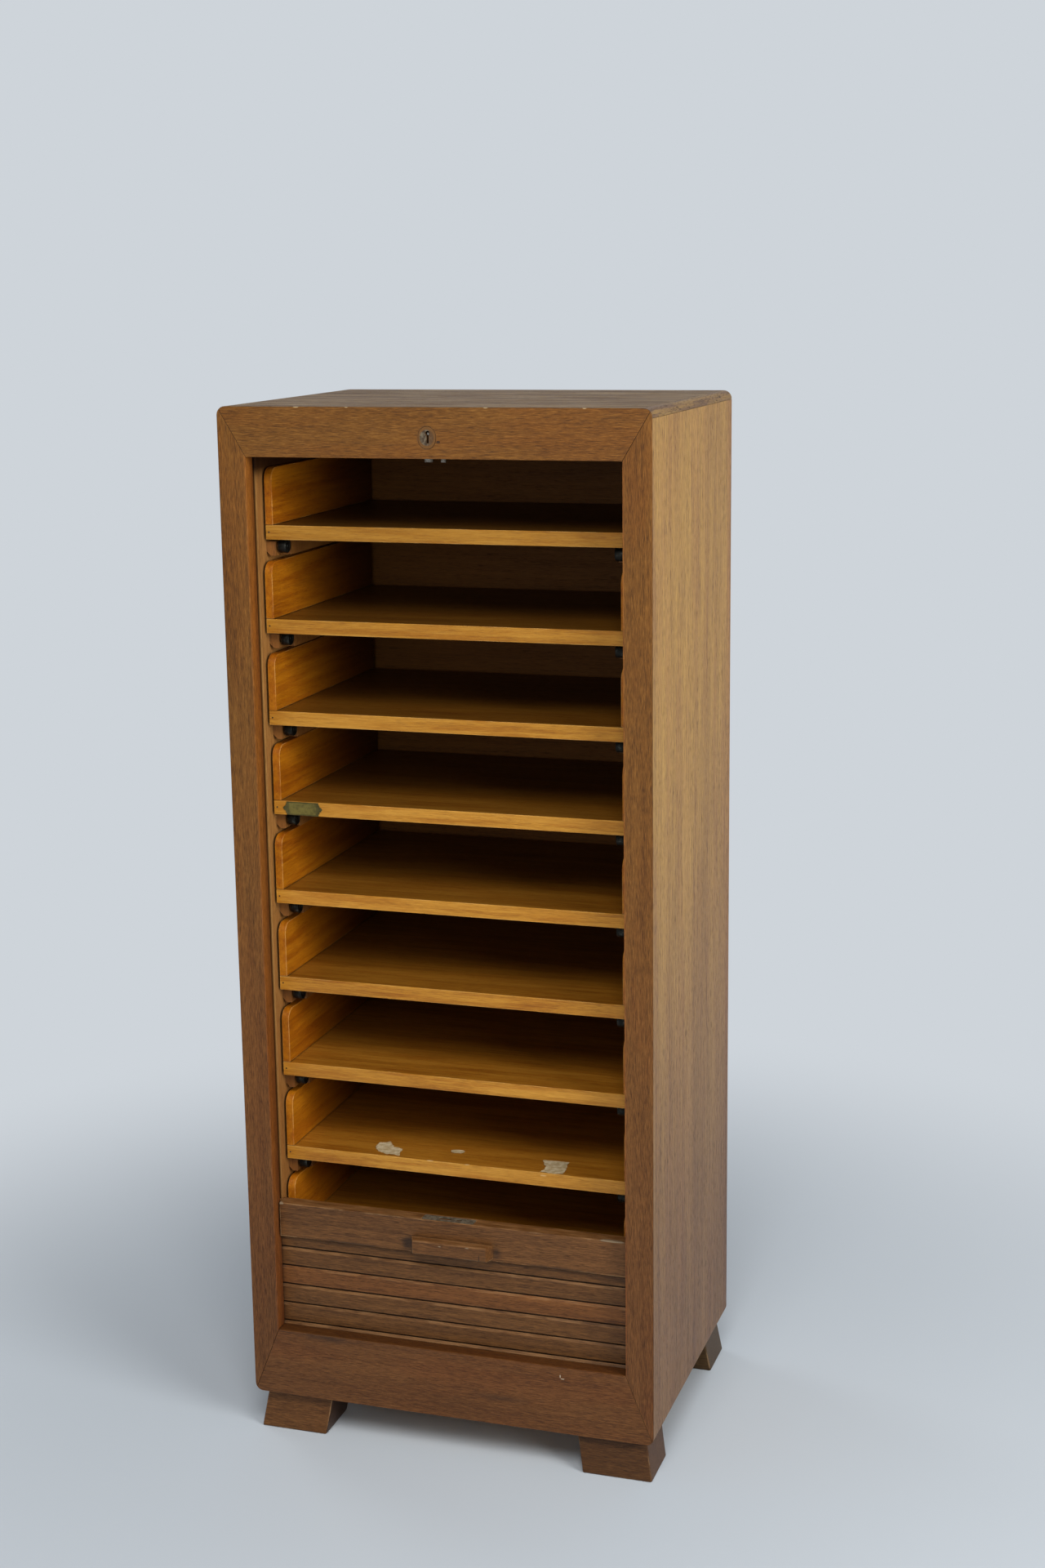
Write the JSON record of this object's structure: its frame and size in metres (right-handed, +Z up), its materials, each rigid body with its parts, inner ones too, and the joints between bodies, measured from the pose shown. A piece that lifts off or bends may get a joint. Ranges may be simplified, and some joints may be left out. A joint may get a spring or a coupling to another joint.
{
  "type": "cupboard",
  "caption": "Tall oak document cupboard on splayed feet, with a slatted roller shutter that slides down and shallow pull-out trays behind it.",
  "frame": {"origin": "on the floor, under the middle of the case's box", "axes": "+Z up, -Y towards the front, +X to the right of someone facing the front"},
  "size_m": [0.486, 0.361, 1.2],
  "materials": {
    "front_oak": "satin varnish, worn",
    "side_oak": "satin varnish, faded",
    "inner_wood": "satin varnish",
    "tray_wood": "satin varnish",
    "slat_wood": "satin varnish, worn",
    "canvas": "matt",
    "steel": "worn"
  },
  "bodies": {
    "case": {"top_panel": "side_oak", "bottom_panel": "side_oak", "left_side_panel": "side_oak", "right_side_panel": "side_oak", "top_left_lipping": "side_oak", "top_right_lipping": "side_oak", "back_panel": "inner_wood", "inner_back_panel": "inner_wood", "inner_floor": "inner_wood", "top_rail": "front_oak", "bottom_rail": "front_oak", "left_stile": "front_oak", "right_stile": "front_oak", "left_liner": "inner_wood", "right_liner": "inner_wood", "front_left_foot": "front_oak", "front_right_foot": "front_oak", "rear_left_foot": "front_oak", "rear_right_foot": "front_oak", "lock_case": "steel", "keyhole_escutcheon": "steel", "hidden_curtain": "slat_wood"},
    "shutter": {"lead_rail": "front_oak", "handle": "front_oak", "strike_plate": "steel", "slat_1": "slat_wood", "slat_2": "slat_wood", "slat_3": "slat_wood", "slat_4": "slat_wood", "slat_5": "slat_wood", "shutter_canvas": "canvas"},
    "bolt": {"lock_bolt": "steel"},
    "tray_1": {"tray_1_floor": "tray_wood", "tray_1_left_side": "tray_wood", "tray_1_right_side": "tray_wood"},
    "tray_2": {"tray_2_floor": "tray_wood", "tray_2_left_side": "tray_wood", "tray_2_right_side": "tray_wood"},
    "tray_3": {"tray_3_floor": "tray_wood", "tray_3_left_side": "tray_wood", "tray_3_right_side": "tray_wood"},
    "tray_4": {"tray_4_floor": "tray_wood", "tray_4_left_side": "tray_wood", "tray_4_right_side": "tray_wood"},
    "tray_5": {"tray_5_floor": "tray_wood", "tray_5_left_side": "tray_wood", "tray_5_right_side": "tray_wood"},
    "tray_6": {"tray_6_floor": "tray_wood", "tray_6_left_side": "tray_wood", "tray_6_right_side": "tray_wood"},
    "tray_7": {"tray_7_floor": "tray_wood", "tray_7_left_side": "tray_wood", "tray_7_right_side": "tray_wood"},
    "tray_8": {"tray_8_floor": "tray_wood", "tray_8_left_side": "tray_wood", "tray_8_right_side": "tray_wood"},
    "tray_9": {"tray_9_floor": "tray_wood", "tray_9_left_side": "tray_wood", "tray_9_right_side": "tray_wood"}
  },
  "joints": [
    {"name": "shutter_slide", "type": "slide", "parent": "case", "child": "shutter", "axis": [0, 0, -1], "range_m": [-0.862, 0]},
    {"name": "bolt_slide", "type": "slide", "parent": "case", "child": "bolt", "axis": [0, 0, 1], "range_m": [0, 0.005]},
    {"name": "tray_1_slide", "type": "slide", "parent": "case", "child": "tray_1", "axis": [0, -1, 0], "range_m": [-0.0015, 0.2437]},
    {"name": "tray_2_slide", "type": "slide", "parent": "case", "child": "tray_2", "axis": [0, -1, 0], "range_m": [-0.0084, 0.2367]},
    {"name": "tray_3_slide", "type": "slide", "parent": "case", "child": "tray_3", "axis": [0, -1, 0], "range_m": [-0.01, 0.2352]},
    {"name": "tray_4_slide", "type": "slide", "parent": "case", "child": "tray_4", "axis": [0, -1, 0], "range_m": [-0.006, 0.2392]},
    {"name": "tray_5_slide", "type": "slide", "parent": "case", "child": "tray_5", "axis": [0, -1, 0], "range_m": [-0.0084, 0.2367]},
    {"name": "tray_6_slide", "type": "slide", "parent": "case", "child": "tray_6", "axis": [0, -1, 0], "range_m": [-0.0075, 0.2377]},
    {"name": "tray_7_slide", "type": "slide", "parent": "case", "child": "tray_7", "axis": [0, -1, 0], "range_m": [-0.007, 0.2382]},
    {"name": "tray_8_slide", "type": "slide", "parent": "case", "child": "tray_8", "axis": [0, -1, 0], "range_m": [-0.0044, 0.2407]},
    {"name": "tray_9_slide", "type": "slide", "parent": "case", "child": "tray_9", "axis": [0, -1, 0], "range_m": [-0.0065, 0.0045]}
  ]
}
